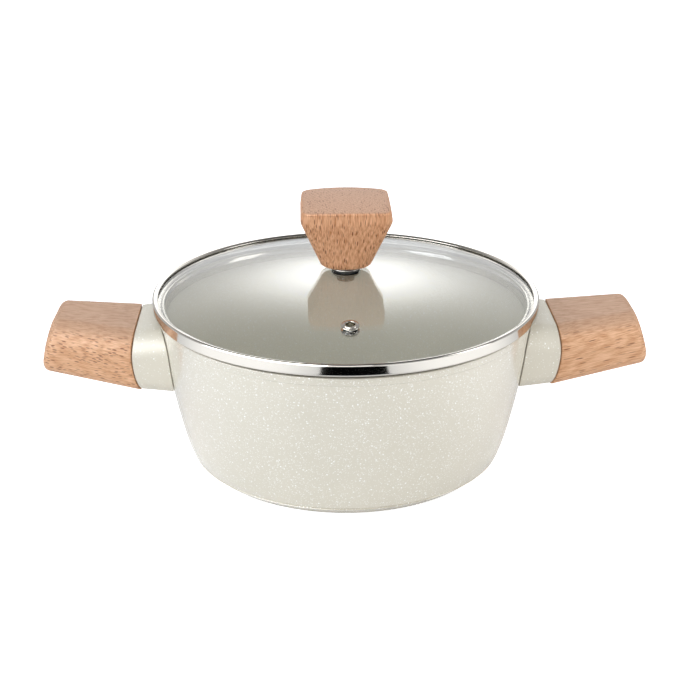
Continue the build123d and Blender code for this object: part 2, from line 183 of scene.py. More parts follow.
# Flakes is the share of the specks that is kept; gloss below 1 thins and roughens the clear layer
def speckledCoating(name, flakes, gloss):
    finish, tree, shader, place = newFinish(name, {"Roughness": coating["roughness"] / gloss, "IOR": coating["ior"],
                                                    "Coat Weight": coating["clear"] * gloss,
                                                    "Coat Roughness": coating["clearRoughness"] / gloss})
    wander = addNode(tree, "ShaderNodeTexNoise", {"Scale": 1 / (coating["wanderSize"] * mm), "Detail": 1.0},
                     {"Vector": place})
    centred = addNode(tree, "ShaderNodeVectorMath", {"operation": "SUBTRACT", 1: (0.5, 0.5, 0.5)},
                      {0: wander.outputs["Color"]})
    ragged = addNode(tree, "ShaderNodeVectorMath", {"operation": "MULTIPLY_ADD", 1: (coating["edgeWander"] * mm,) * 3},
                     {0: centred, 2: place})
    masks = []
    edgeOut, edgeIn = coating["flakeEdge"]
    for size in ("large", "small"):
        cell, radius, share, strength = (coating[size + key] for key in ("Cell", "Flake", "Share", "Strength"))
        cells = addNode(tree, "ShaderNodeTexVoronoi", {"Scale": 1 / (cell * mm)}, {"Vector": ragged})
        inside = addNode(tree, "ShaderNodeMapRange",
                         {"interpolation_type": "SMOOTHSTEP", "From Min": edgeOut * radius / cell,
                          "From Max": edgeIn * radius / cell}, {"Value": cells.outputs["Distance"]})
        luck = addNode(tree, "ShaderNodeSeparateColor", links={"Color": cells.outputs["Color"]})
        present = addNode(tree, "ShaderNodeMath", {"operation": "LESS_THAN", 1: share * flakes},
                          {0: luck.outputs[0]})
        faint = addNode(tree, "ShaderNodeMapRange", {"To Min": coating["faintest"] * strength, "To Max": strength},
                        {"Value": luck.outputs[1]})
        shown = addNode(tree, "ShaderNodeMath", {"operation": "MULTIPLY"}, {0: inside, 1: present})
        masks.append(addNode(tree, "ShaderNodeMath", {"operation": "MULTIPLY"}, {0: shown, 1: faint}))
    flakeMask = addNode(tree, "ShaderNodeMath", {"operation": "MAXIMUM"}, {0: masks[0], 1: masks[1]})
    cloud = addNode(tree, "ShaderNodeTexNoise", {"Scale": 1 / (coating["cloudSize"] * mm), "Detail": 2.0},
                    {"Vector": place})
    ground = addNode(tree, "ShaderNodeMix",
                     {"data_type": "RGBA", 6: linearColour(coating["shade"]), 7: linearColour(coating["cream"])},
                     {0: cloud.outputs["Fac"]})
    # Painted light: the inside of the pot is painted paler, standing in for the light that reaches it through the glass
    insidePaintedLight = addNode(tree, "ShaderNodeAttribute", {"attribute_name": "inside"}).outputs["Fac"]
    paintedPalerInside = addNode(tree, "ShaderNodeMix", {"data_type": "RGBA", 7: linearColour(coating["inside"])},
                    {0: insidePaintedLight, 6: ground.outputs[2]})
    colour = addNode(tree, "ShaderNodeMix", {"data_type": "RGBA", 7: linearColour(coating["flake"])},
                     {0: flakeMask, 6: paintedPalerInside.outputs[2]})
    peel = addNode(tree, "ShaderNodeTexNoise", {"Scale": 1 / (coating["peelSize"] * mm), "Detail": 1.0},
                   {"Vector": place})
    relief = addNode(tree, "ShaderNodeBump",
                     {"Strength": coating["peelStrength"], "Distance": coating["peelDepth"] * mm},
                     {"Height": peel.outputs["Fac"]})
    # Painted shade: the rebate's step under the lid's band is painted dark grey where shade falls under the band
    rimShadeMask = addNode(tree, "ShaderNodeAttribute", {"attribute_name": "paintedRimShade"}).outputs["Fac"]
    surface = addNode(tree, "ShaderNodeMix", {"data_type": "RGBA", 7: linearColour(coating["paintedRimShade"])},
                      {0: rimShadeMask, 6: colour.outputs[2]})
    tree.links.new(surface.outputs[2], shader.inputs["Base Color"])
    tree.links.new(relief.outputs[0], shader.inputs["Normal"])
    return finish


# Steamed beech, sawn, sanded and oiled: pinkish tan, fine broken hairlines along the grain, faint growth rings,
# and the short dark spindles of its rays, thick on the faces cut along the rings; a low sheen
beech = dict(
    # The first colour below is painted light: faces that look up are painted paler and greyer with it, a painted sheen
    # of cool light from above
    paintedTopSheen="#B59784", fleck="#6A3418", roughness=0.5, ior=1.48, shine=0.25,
    ringWidth=2.2, ringWander=1.3, wanderSize=22.0, ringTone=0.2,
    fibreLength=20.0, fibreWidth=0.5, fibreDepth=1.4, fibreTone=0.75,  # coarse enough to show at this distance
    fibreFrom=0.38, fibreTo=0.64, lateFrom=0.45,
    fleckDepth=3.4, fleckEdge=(0.4, 0.2), faintest=0.35,
    upFrom=0.4, upTo=0.9, paintedSheenShare=0.45,  # height of the face's direction over which it counts as looking up
    sheenFrom=-0.06, sheenTo=0.08, grit=0.03, gritStrength=0.35,
)


# The log's grain runs along X after the turn and its rings lie round the shifted axis. The figure has the two
# wood colours, the length and width of the spindles' cells, the share that have one, and the part left of them
# on faces that look up, which are also painted paler and greyer: a painted sheen of cool light from above
def beechWood(name, turn, shift, figure):
    finish, tree, shader, place = newFinish(name, {"IOR": beech["ior"], "Specular IOR Level": beech["shine"]})
    grain = addNode(tree, "ShaderNodeMapping", {"Rotation": turn, "Location": [s * mm for s in shift]},
                    {"Vector": place})
    bend = addNode(tree, "ShaderNodeTexNoise", {"Scale": 1 / (beech["wanderSize"] * mm), "Detail": 1.0},
                   {"Vector": grain})
    centred = addNode(tree, "ShaderNodeVectorMath", {"operation": "SUBTRACT", 1: (0.5, 0.5, 0.5)},
                      {0: bend.outputs["Color"]})
    sway = 2 * beech["ringWander"] * mm
    bent = addNode(tree, "ShaderNodeVectorMath", {"operation": "MULTIPLY_ADD", 1: (0, sway, sway)},
                   {0: centred, 2: grain})
    rings = addNode(tree, "ShaderNodeTexWave",
                    {"wave_type": "RINGS", "rings_direction": "X", "wave_profile": "SIN",
                     "Scale": 2 * pi / 20 / (beech["ringWidth"] * mm)}, {"Vector": bent})
    fibreSpace = addNode(tree, "ShaderNodeVectorMath",
                         {"operation": "MULTIPLY",
                          1: [1 / (beech[key] * mm) for key in ("fibreLength", "fibreDepth", "fibreWidth")]},
                         {0: bent})
    fibres = addNode(tree, "ShaderNodeTexNoise", {"Scale": 1.0, "Detail": 3.0, "Roughness": 0.6},
                     {"Vector": fibreSpace})
    fleckSpace = addNode(tree, "ShaderNodeVectorMath",
                         {"operation": "MULTIPLY",
                          1: [1 / (size * mm) for size in (figure["length"], beech["fleckDepth"], figure["width"])]},
                         {0: bent})
    cells = addNode(tree, "ShaderNodeTexVoronoi", {"Scale": 1.0}, {"Vector": fleckSpace})
    spindle = addNode(tree, "ShaderNodeMapRange",
                      {"interpolation_type": "SMOOTHSTEP", "From Min": beech["fleckEdge"][0],
                       "From Max": beech["fleckEdge"][1]}, {"Value": cells.outputs["Distance"]})
    luck = addNode(tree, "ShaderNodeSeparateColor", links={"Color": cells.outputs["Color"]})
    present = addNode(tree, "ShaderNodeMath", {"operation": "LESS_THAN", 1: figure["share"]},
                      {0: luck.outputs[0]})
    depth = addNode(tree, "ShaderNodeMapRange", {"To Min": beech["faintest"]}, {"Value": luck.outputs[1]})
    shown = addNode(tree, "ShaderNodeMath", {"operation": "MULTIPLY"}, {0: spindle, 1: present})
    fleckMask = addNode(tree, "ShaderNodeMath", {"operation": "MULTIPLY"}, {0: shown, 1: depth})
    facing = addNode(tree, "ShaderNodeTexCoord").outputs["Normal"]
    up = addNode(tree, "ShaderNodeSeparateXYZ", links={0: facing}).outputs["Z"]
    lookingUp = {"interpolation_type": "SMOOTHSTEP", "From Min": beech["upFrom"], "From Max": beech["upTo"]}
    thin = addNode(tree, "ShaderNodeMapRange", {**lookingUp, "To Min": 1.0, "To Max": figure["top"]}, {"Value": up})
    fleckMask = addNode(tree, "ShaderNodeMath", {"operation": "MULTIPLY"}, {0: fleckMask, 1: thin})
    late = addNode(tree, "ShaderNodeMapRange",
                   {"interpolation_type": "SMOOTHSTEP", "From Min": beech["lateFrom"], "To Max": beech["ringTone"]},
                   {"Value": rings.outputs["Fac"]})
    fibreTone = addNode(tree, "ShaderNodeMapRange",
                        {"From Min": beech["fibreFrom"], "From Max": beech["fibreTo"], "To Max": beech["fibreTone"]},
                        {"Value": fibres.outputs["Fac"]})
    tone = addNode(tree, "ShaderNodeMath", {"operation": "ADD", "use_clamp": True}, {0: late, 1: fibreTone})
    ground = addNode(tree, "ShaderNodeMix",
                     {"data_type": "RGBA", 6: linearColour(figure["light"]), 7: linearColour(figure["dark"])},
                     {0: tone})
    # Painted sheen: faces that look up are painted paler and greyer, in place of cool light falling on them from above
    paintedSheenMask = addNode(tree, "ShaderNodeMapRange", {**lookingUp, "To Max": beech["paintedSheenShare"]}, {"Value": up})
    paintedTopSheen = addNode(tree, "ShaderNodeMix", {"data_type": "RGBA", 7: linearColour(beech["paintedTopSheen"])},
                   {0: paintedSheenMask, 6: ground.outputs[2]})
    colour = addNode(tree, "ShaderNodeMix", {"data_type": "RGBA", 7: linearColour(beech["fleck"])},
                     {0: fleckMask, 6: paintedTopSheen.outputs[2]})
    sheen = addNode(tree, "ShaderNodeMapRange",
                    {"To Min": beech["roughness"] + beech["sheenFrom"],
                     "To Max": beech["roughness"] + beech["sheenTo"]},
                    {"Value": fibres.outputs["Fac"]})
    relief = addNode(tree, "ShaderNodeBump", {"Strength": beech["gritStrength"], "Distance": beech["grit"] * mm},
                     {"Height": fibres.outputs["Fac"]})
    tree.links.new(colour.outputs[2], shader.inputs["Base Color"])
    tree.links.new(sheen.outputs[0], shader.inputs["Roughness"])
    tree.links.new(relief.outputs[0], shader.inputs["Normal"])
    return finish


# Rolled stainless steel, mirror polished: near-colourless reflections, faintly uneven from the rolling
rolledSteel = dict(colour="#CBC7C0", hazeSize=6.0, smoothest=0.05, roughest=0.11)


def polishedSteel():
    finish, tree, shader, place = newFinish("polishedStainless", {
        "Metallic": 1.0, "Base Color": linearColour(rolledSteel["colour"])})
    haze = addNode(tree, "ShaderNodeTexNoise", {"Scale": 1 / (rolledSteel["hazeSize"] * mm), "Detail": 2.0},
                   {"Vector": place})
    gloss = addNode(tree, "ShaderNodeMapRange",
                    {"To Min": rolledSteel["smoothest"], "To Max": rolledSteel["roughest"]},
                    {"Value": haze.outputs["Fac"]})
    tree.links.new(gloss.outputs[0], shader.inputs["Roughness"])
    return finish


# Turned stainless steel: fine rings from the lathe tool round the Z axis, a silky streaked highlight
lathedSteel = dict(colour="#BFBDB9", ringWidth=0.7, ringDepth=0.02, ringStrength=0.3, smoothest=0.22, roughest=0.4)


def brushedSteel():
    finish, tree, shader, place = newFinish("turnedStainless", {
        "Metallic": 1.0, "Base Color": linearColour(lathedSteel["colour"])})
    rings = addNode(tree, "ShaderNodeTexWave",
                    {"wave_type": "RINGS", "rings_direction": "Z",
                     "Scale": 2 * pi / 20 / (lathedSteel["ringWidth"] * mm),
                     "Distortion": 1.5, "Detail": 3.0, "Detail Scale": 2.0}, {"Vector": place})
    gloss = addNode(tree, "ShaderNodeMapRange",
                    {"To Min": lathedSteel["smoothest"], "To Max": lathedSteel["roughest"]},
                    {"Value": rings.outputs["Fac"]})
    relief = addNode(tree, "ShaderNodeBump",
                     {"Strength": lathedSteel["ringStrength"], "Distance": lathedSteel["ringDepth"] * mm},
                     {"Height": rings.outputs["Fac"]})
    tree.links.new(gloss.outputs[0], shader.inputs["Roughness"])
    tree.links.new(relief.outputs[0], shader.inputs["Normal"])
    return finish


# Tempered soda-lime glass, pressed to a dome: clear with a slight green-grey cast and very gentle waves
pressedGlass = dict(colour="#FEFFFE", ior=1.52, waveSize=45.0, waveDepth=0.05, waveStrength=0.15)


def temperedGlass():
    finish, tree, shader, place = newFinish("temperedGlass", {
        "Base Color": linearColour(pressedGlass["colour"]), "Transmission Weight": 1.0, "IOR": pressedGlass["ior"],
        "Roughness": 0.0})
    waves = addNode(tree, "ShaderNodeTexNoise", {"Scale": 1 / (pressedGlass["waveSize"] * mm), "Detail": 1.0},
                    {"Vector": place})
    relief = addNode(tree, "ShaderNodeBump",
                     {"Strength": pressedGlass["waveStrength"], "Distance": pressedGlass["waveDepth"] * mm},
                     {"Height": waves.outputs["Fac"]})
    tree.links.new(relief.outputs[0], shader.inputs["Normal"])
    return finish


# Moulded black silicone: matt, with the fine texture of the eroded mould
mouldedSilicone = dict(colour="#1B1A1A", ior=1.41, gritSize=0.3, gritDepth=0.02, gritStrength=0.3,
                       smoothest=0.45, roughest=0.7)


def blackSilicone():
    finish, tree, shader, place = newFinish("mouldedSilicone", {
        "Base Color": linearColour(mouldedSilicone["colour"]), "IOR": mouldedSilicone["ior"]})
    grit = addNode(tree, "ShaderNodeTexNoise", {"Scale": 1 / (mouldedSilicone["gritSize"] * mm), "Detail": 2.0},
                   {"Vector": place})
    gloss = addNode(tree, "ShaderNodeMapRange",
                    {"To Min": mouldedSilicone["smoothest"], "To Max": mouldedSilicone["roughest"]},
                    {"Value": grit.outputs["Fac"]})
    relief = addNode(tree, "ShaderNodeBump",
                     {"Strength": mouldedSilicone["gritStrength"], "Distance": mouldedSilicone["gritDepth"] * mm},
                     {"Height": grit.outputs["Fac"]})
    tree.links.new(gloss.outputs[0], shader.inputs["Roughness"])
    tree.links.new(relief.outputs[0], shader.inputs["Normal"])
    return finish


# Turned brass of the threaded insert: warm, slightly dulled
insertBrass = dict(bright="#C9A552", dull="#A9853E", tarnishSize=2.0, smoothest=0.2, roughest=0.4)


def turnedBrass():
    finish, tree, shader, place = newFinish("turnedBrass", {"Metallic": 1.0})
    tarnish = addNode(tree, "ShaderNodeTexNoise", {"Scale": 1 / (insertBrass["tarnishSize"] * mm), "Detail": 3.0},
                      {"Vector": place})
    colour = addNode(tree, "ShaderNodeMix",
                     {"data_type": "RGBA", 6: linearColour(insertBrass["bright"]),
                      7: linearColour(insertBrass["dull"])},
                     {0: tarnish.outputs["Fac"]})
    gloss = addNode(tree, "ShaderNodeMapRange",
                    {"To Min": insertBrass["smoothest"], "To Max": insertBrass["roughest"]},
                    {"Value": tarnish.outputs["Fac"]})
    tree.links.new(colour.outputs[2], shader.inputs["Base Color"])
    tree.links.new(gloss.outputs[0], shader.inputs["Roughness"])
    return finish


potCoat = speckledCoating("speckledCeramicCoat", 1.0, 1.0)
bracketCoat = speckledCoating("speckledBracketCoat", 0.45, 0.4)
polished = polishedSteel()
turnedSteel = brushedSteel()
clearGlass = temperedGlass()
silicone = blackSilicone()
brass = turnedBrass()
print("finishes made")

pot = dict(
    baseRadius=80.6, footRadius=85.6, footHeight=4.4, grooveDepth=0.8, grooveWidth=0.6,
    rimRadius=100.8, height=86.0, waistHeight=38.0, waistBulge=2.5,
    lowerBow=0.6, lowerFull=0.3, fullHeight=14.0, fullSpread=9.0,
    wall=2.2, floor=5.0, floorRound=9.0, lipHeight=6.4, lipStep=0.4, lipBlend=0.5,
    rebateHeight=2.0, rebateDepth=2.0, underRebate=1.0, discRadius=66.1, discDepth=1.0, baseRound=1.5,
)
foot = np.array([pot["footRadius"], pot["footHeight"]])
rim = np.array([pot["rimRadius"], pot["height"]])
waist = foot + (rim - foot) * (pot["waistHeight"] - foot[1]) / (rim[1] - foot[1]) + [pot["waistBulge"], 0]
lowerCentre, lowerRadius = circleThrough(foot, (foot + waist) / 2 + [pot["lowerBow"], 0], waist)
inward = (lowerCentre - waist) / lowerRadius
upperRadius = np.dot(rim - waist, rim - waist) / (2 * np.dot(rim - waist, inward))
upperCentre = waist + inward * upperRadius


# Outside of the wall at a height: two arcs that share a tangent at the waist,
# each centre radius + sqrt(arc radius^2 - (height - centre height)^2)
def wallRadius(height):
    lower = lowerCentre[0] + np.sqrt(np.maximum(lowerRadius ** 2 - (height - lowerCentre[1]) ** 2, 0))
    upper = upperCentre[0] + np.sqrt(np.maximum(upperRadius ** 2 - (height - upperCentre[1]) ** 2, 0))
    return np.where(height < pot["waistHeight"], lower, upper)


# Pot: the profile runs from the middle of the underside out over the foot, up the wall, over the rim with the
# shallow rebate under the lid's band, and down the inside to the middle of the floor
def makePot():
    lipBottom = pot["height"] - pot["lipHeight"]
    ledge = pot["height"] - pot["rebateHeight"]
    rimBottom = ledge - pot["underRebate"]
    groove = pot["footHeight"] + pot["grooveWidth"]
    under = roundedPath([(0, pot["discDepth"]), (pot["discRadius"], pot["discDepth"]), (pot["discRadius"], 0),
                         (pot["baseRadius"], 0), foot], [0, 0.15, 0.3, pot["baseRound"], 0], closed=False)
    heights = np.concatenate([
        np.linspace(groove - 0.3, groove + 1.4, 22), np.linspace(groove + 1.8, lipBottom - 0.6, 44),
        np.linspace(lipBottom - 0.4, lipBottom + 1.2, 14), np.linspace(lipBottom + 1.6, rimBottom, 6)])
    outside = wallRadius(heights) + pot["lipStep"] * softStep((heights - lipBottom) / pot["lipBlend"])
    outside += pot["lowerFull"] * np.exp(-((heights - pot["fullHeight"]) / pot["fullSpread"]) ** 2)
    outside -= pot["grooveDepth"] * np.exp(-((heights - groove) / (0.6 * pot["grooveWidth"])) ** 2)
    lipTop = rim[0] + pot["lipStep"]
    rebate = lipTop - pot["rebateDepth"]
    edge = roundedPath([(outside[-1], rimBottom), (lipTop, ledge), (rebate, ledge + 0.2), (rebate, rim[1]),
                        (rim[0] - pot["wall"], rim[1]), (wallRadius(rimBottom) - pot["wall"], rimBottom)],
                       [0, 0.5, 0.2, 0.2, 0.2, 0], closed=False)
    floorTop = pot["floor"] + 1.3 * pot["floorRound"]
    innerHeights = np.linspace(rimBottom - 0.5, floorTop, 40)
    inside = wallRadius(innerHeights) - pot["wall"]
    floorCorner = (wallRadius(pot["floor"]) - pot["wall"], pot["floor"])
    floor = roundedPath([(inside[-1], floorTop), floorCorner, (0, pot["floor"])], [0, pot["floorRound"], 0],
                        closed=False, arcSteps=16)
    profile = np.vstack([under, np.stack([outside, heights], -1), edge, np.stack([inside, innerHeights], -1), floor])
    piece = turnedPiece("potShell", profile, around=256, closedRows=False)
    points = np.empty(len(piece.data.vertices) * 3, np.float32)
    piece.data.vertices.foreach_get("co", points)
    x, y, z = points.reshape(-1, 3).T / mm
    # Points on the inside of the pot, which the coating paints paler as painted light
    insidePaintedLight = (z > pot["floor"] - 0.1) & (np.hypot(x, y) < wallRadius(z) - pot["wall"] / 2)
    # Points on the rebate's step under the band, which the coating paints dark grey as painted shade
    rimShadeMask = (z > ledge + 0.1) & (np.hypot(x, y) > rebate - 0.1)
    for name, mask in (("inside", insidePaintedLight), ("paintedRimShade", rimShadeMask)):
        piece.data.attributes.new(name, "FLOAT", "POINT").data.foreach_set("value", mask.astype(np.float32))
    dressPiece(piece, "pot", "speckled_coating", potCoat, "pot_shell")


makePot()
print("pot made")

handle = dict(
    height=60.0, standOff=12.0, rise=10.7, gripLength=47.4, endTilt=17.0,
    seam=dict(up=18.8, down=18.4, top=63.4, bottom=44.0, topRound=11.0, bottomRound=14.0),
    end=dict(up=16.0, down=15.6, top=56.0, bottom=39.0, topRound=12.0, bottomRound=12.0),
    seamGap=0.4, seamBow=(-2.75, 0.85, 1.2), gripEdge=0.7, endEdge=4.5, endCrown=1.2, endSet=0.9,
    bracketInset=0.3, bracketEdge=0.9, rootFlare=2.2, rootReach=30.8, rootEdge=0.4, wallGap=0.25,
    grainYaw=5.0, grainShift=(40, -72, -38),
    leftFigure=dict(light="#E7BA95", dark="#BD855C", length=4.0, width=0.95, share=0.85, top=0.1),
    rightFigure=dict(light="#E7BA95", dark="#BD855C", length=7.0, width=0.8, share=0.35, top=0.1),
    studBore=5.2, boltBore=2.7, web=3.0, headRecess=5.4, recessDepth=9.0,
)
seamMiddle = np.array([pot["rimRadius"] + handle["standOff"], 0, handle["height"]])
handleAxis = np.array([cos(radians(handle["rise"])), 0, sin(radians(handle["rise"]))])
handleUp = np.array([-handleAxis[2], 0, handleAxis[0]])
endMiddle = seamMiddle + handleAxis * handle["gripLength"]
endNormal = np.array([cos(radians(handle["endTilt"])), 0, sin(radians(handle["endTilt"]))])
endUp = np.array([-endNormal[2], 0, endNormal[0]])
acrossAxis = np.array([0, 1, 0])
quarterTurn = np.linspace(0, pi / 2, 7)


# Outline of a handle section: a trapezoid with its long side up and rounded corners, grown all round
def handleOutline(size, grow):
    up, down, top, bottom = size["up"] + grow, size["down"] + grow, size["top"] / 2 + grow, size["bottom"] / 2 + grow
    rounds = (size["topRound"], size["bottomRound"], size["bottomRound"], size["topRound"])
    return roundedPath([(-top, up), (-bottom, -down), (bottom, -down), (top, up)], rounds,
                       arcSteps=14, runShares=np.linspace(0, 1, 10)[1:-1])


# The outline standing at the seam, which is bowed by a t^2 + b t + c, t from -1 at its bottom to 1 at its top
def seamRing(grow, offset):
    across, up = handleOutline(handle["seam"], grow).T
    bow = np.polyval(handle["seamBow"], up / handle["seam"]["up"])
    return np.stack([seamMiddle[0] + offset + bow, across, seamMiddle[2] + up], -1)


# The outline standing on the leaning end face
def endRing(grow, offset):
    across, up = handleOutline(handle["end"], grow).T
    return endMiddle + across[:, None] * acrossAxis + up[:, None] * endUp + offset * endNormal


# A circle about the handle's axis, each point moved along the axis by its own distance
def axisRing(radius, along):
    across, up = handleOutline(handle["seam"], 0).T
    angle = np.arctan2(up, across)
    flat = seamMiddle + radius * (np.cos(angle)[:, None] * acrossAxis + np.sin(angle)[:, None] * handleUp)
    return flat + np.reshape(along, (-1, 1)) * handleAxis


# Moves each point along its own line until it stands off the wall by a gap, by halving the interval 40 times
def reachWall(start, step, gap):
    low, high = np.zeros(len(start)), np.ones(len(start))
    for _ in range(40):
        middle = (low + high) / 2
        point = start + step * middle[:, None]
        outside = np.hypot(point[:, 0], point[:, 1]) > wallRadius(point[:, 2]) + gap
        low, high = np.where(outside, middle, low), np.where(outside, high, middle)
    return start + step * low[:, None]


# Points at given across and up positions, put on the wall with a gap: x = sqrt((wall radius + gap)^2 - y^2)
def onWall(points, gap):
    x = np.sqrt((wallRadius(points[..., 2]) + gap) ** 2 - points[..., 1] ** 2)
    return np.concatenate([x[..., None], points[..., 1:]], -1)


# Bracket: seam face, rounded edge, flared sides running to the wall, root face on the wall, stud and bolt bores
def bracketRows():
    inset, edge, rootEdge = handle["bracketInset"], handle["bracketEdge"], handle["rootEdge"]
    seamEdge = np.stack([seamRing(-inset - edge * (1 - sin(a)), -edge * (1 - cos(a))) for a in quarterTurn])
    boltSeam = axisRing(handle["boltBore"], 0)
    face = rowsBetween(boltSeam, seamEdge[0], (0, 0.3, 0.7, 0.95))
    root = seamRing(handle["rootFlare"], -handle["rootReach"])
    sideEnd = reachWall(seamEdge[-1], root - seamEdge[-1], handle["wallGap"] + rootEdge)
    sides = rowsBetween(seamEdge[-1], sideEnd, (0.04, 0.1, 0.2, 0.35, 0.5, 0.65, 0.8, 0.9, 0.96))
    middle = np.array([0, 0, handle["height"]])
    shrink = 1 - rootEdge * (1 - np.cos(quarterTurn)) / handle["seam"]["up"]
    rootRound = np.stack([onWall(middle + (sideEnd - middle) * s, handle["wallGap"] + rootEdge * (1 - sin(a)))
                          for s, a in zip(shrink, quarterTurn)])
    studFoot = reachWall(axisRing(handle["studBore"], 0), -handleAxis * 1.3 * handle["rootReach"] + 0 * root,
                         handle["wallGap"])
    rootFace = onWall(rowsBetween(rootRound[-1], studFoot, (0.06, 0.25, 0.5, 0.75, 0.94)), handle["wallGap"])
    studTop = axisRing(handle["studBore"], -handle["web"])
    boltTop = axisRing(handle["boltBore"], -handle["web"])
    return np.concatenate([face, seamEdge, sides, rootRound, rootFace, studFoot[None],
                           rowsBetween(studFoot, studTop, (0.5, 1)), boltTop[None]])


# Grip: rounded seam edge, straight taper to the end section, rounded end with a low crown, head recess, bolt bore
def gripRows():
    edge, endEdge = handle["gripEdge"], handle["endEdge"]
    gap = handle["seamGap"]
    seamEdge = np.stack([seamRing(-edge * (1 - sin(a)), gap + edge * (1 - cos(a))) for a in quarterTurn])
    endRound = np.stack([endRing(-endEdge * (1 - cos(a)), handle["endSet"] - endEdge * (1 - sin(a)))
                         for a in quarterTurn])
    sides = rowsBetween(seamEdge[-1], endRound[0], (0.02, 0.06, 0.15, 0.3, 0.45, 0.6, 0.75, 0.88, 0.95, 0.98))
    lean = np.dot(handleUp, endNormal) / np.dot(handleAxis, endNormal)
    across, up = handleOutline(handle["seam"], 0).T
    circle = handle["headRecess"] * np.sin(np.arctan2(up, across))
    recessTop = axisRing(handle["headRecess"], handle["gripLength"] + handle["endSet"] - circle * lean)
    faceShares = np.array([0.05, 0.2, 0.4, 0.6, 0.8, 0.96])
    crown = handle["endCrown"] * np.sin(faceShares * pi / 2)
    face = rowsBetween(endRound[-1], recessTop, faceShares) + crown[:, None, None] * endNormal
    recessRim = recessTop + handle["endCrown"] * endNormal
    floorAlong = handle["gripLength"] - handle["recessDepth"]
    recessFloor = axisRing(handle["headRecess"], floorAlong)
    boltTop = axisRing(handle["boltBore"], floorAlong)
    boltSeam = axisRing(handle["boltBore"], gap)
    recess = rowsBetween(recessRim, recessFloor, (0.03, 0.97, 1))
    return np.concatenate([seamEdge, sides, endRound, face, recessRim[None], recess, boltTop[None], boltSeam[None],
                           rowsBetween(boltSeam, seamEdge[0], (0.3, 0.7, 0.95))])


# Both handles: the left one is the right one with x reversed
def makeHandles():
    bracket, grip = bracketRows(), gripRows()
    for side, sign in (("right", 1), ("left", -1)):
        mirrored = np.array([sign, 1, 1])
        wood = beechWood(side + "GripBeech", (0, sign * radians(handle["rise"]), sign * radians(handle["grainYaw"])),
                         mirrored * handle["grainShift"], handle[side + "Figure"])
        dressPiece(gridPiece(side + "Bracket", bracket * mirrored, closedRows=True), "pot", "speckled_coating",
                   bracketCoat, side + "_handle_bracket")
        dressPiece(gridPiece(side + "Grip", grip * mirrored, closedRows=True), "pot", "beech",
                   wood, side + "_handle_grip")


makeHandles()
print("handles made")

lid = dict(
    bandRadius=104.0, channelRadius=102.6, lipRadius=101.05, sheet=0.8, bandRound=1.0, lipRound=0.36, beadRise=1.0,
    seatRound=4.5, skirtRadius=96.88, skirtBottom=79.5,
    glassRadius=102.45, glassCorner=90.6, glassTop=105.6, glassThickness=4.0, glassSeat=86.8, glassEdgeRound=0.6,
    lipClearance=0.1, knobHole=3.5,
)
domeRise = lid["glassTop"] - lid["glassCorner"]
domeRadius = (lid["glassRadius"] ** 2 + domeRise ** 2) / (2 * domeRise)
domeCentre = lid["glassTop"] - domeRadius


# Height of a sphere about the dome's centre at a distance from the axis
def domeHeight(radius, sphere):
    return domeCentre + np.sqrt(sphere ** 2 - np.square(radius))


# Rolled band: lip over the glass, outer roll, flange on the rim, skirt inside the mouth
def makeBand():
    lipUnder = float(domeHeight(lid["lipRadius"], domeRadius)) + lid["lipClearance"]
    lipTop = lipUnder + lid["sheet"]
    skirtInside = lid["skirtRadius"] - lid["sheet"]
    corners = [(lid["lipRadius"], lipUnder), (lid["lipRadius"], lipTop), (lid["bandRadius"], lipTop + lid["beadRise"]),
               (lid["bandRadius"], pot["height"]), (lid["skirtRadius"], pot["height"]),
               (lid["skirtRadius"], lid["skirtBottom"]), (skirtInside, lid["skirtBottom"]),
               (skirtInside, lid["glassSeat"]), (lid["channelRadius"], lid["glassSeat"]),
               (lid["channelRadius"], lipUnder)]
    rounds = [lid["lipRound"], lid["lipRound"], lid["bandRound"], lid["bandRound"], 0.5,
              0.35, 0.35, lid["seatRound"], 0.3, 0.3]
    piece = turnedPiece("lidBand", roundedPath(corners, rounds), around=256)
    dressPiece(piece, "lid", "polished_steel", polished, "lid_rim_band")


# Glass dome: two spheres about one centre, a ground edge that stands in the band's channel
def makeGlass():
    underSphere = domeRadius - lid["glassThickness"]
    seatRadius = sqrt(underSphere ** 2 - (lid["glassSeat"] - domeCentre) ** 2)
    radii = np.linspace(lid["knobHole"], lid["glassRadius"] - 1.5, 72)
    top = np.stack([radii, domeHeight(radii, domeRadius)], -1)
    edgeRound = lid["glassEdgeRound"]
    edge = roundedPath([top[-1], (lid["glassRadius"], lid["glassCorner"]), (lid["glassRadius"], lid["glassSeat"]),
                        (seatRadius, lid["glassSeat"])], [0, edgeRound, edgeRound, 0], closed=False)
    underRadii = np.linspace(seatRadius - 0.8, lid["knobHole"], 72)
    under = np.stack([underRadii, domeHeight(underRadii, underSphere)], -1)
    piece = turnedPiece("lidGlass", np.vstack([top, edge, under]), around=224)
    drill = np.array([(0, -20), (vent["hole"], -20), (vent["hole"], 20), (0, 20)])
    cutter = turnedPiece("ventCutter", drill, 64, False, ventMiddle, ventTilt)
    cut = piece.modifiers.new("ventHole", "BOOLEAN")
    cut.object = cutter
    cut.operation = "DIFFERENCE"
    cut.solver = "EXACT"
    solid = piece.data
    piece.data = bpy.data.meshes.new_from_object(piece.evaluated_get(bpy.context.evaluated_depsgraph_get()))
    piece.modifiers.clear()
    bpy.data.meshes.remove(solid)
    bpy.data.meshes.remove(cutter.data)
    piece.data.name = "lidGlass"
    dressPiece(piece, "lid", "glass", clearGlass, "lid_glass")


vent = dict(
    offset=70.0, hole=3.4, bore=2.4, tube=3.2, flange=4.7, flangeHeight=0.6, collar=3.5, collarHeight=0.5,
    gasketRadius=4.4, gasketHeight=0.5, rollRadius=4.2, rollHeight=0.7, ringRadius=4.7, ringHeight=0.8,
)
ventTilt = asin(vent["offset"] / domeRadius)
ventMiddle = np.array([0, -vent["offset"], float(domeHeight(vent["offset"], domeRadius))])


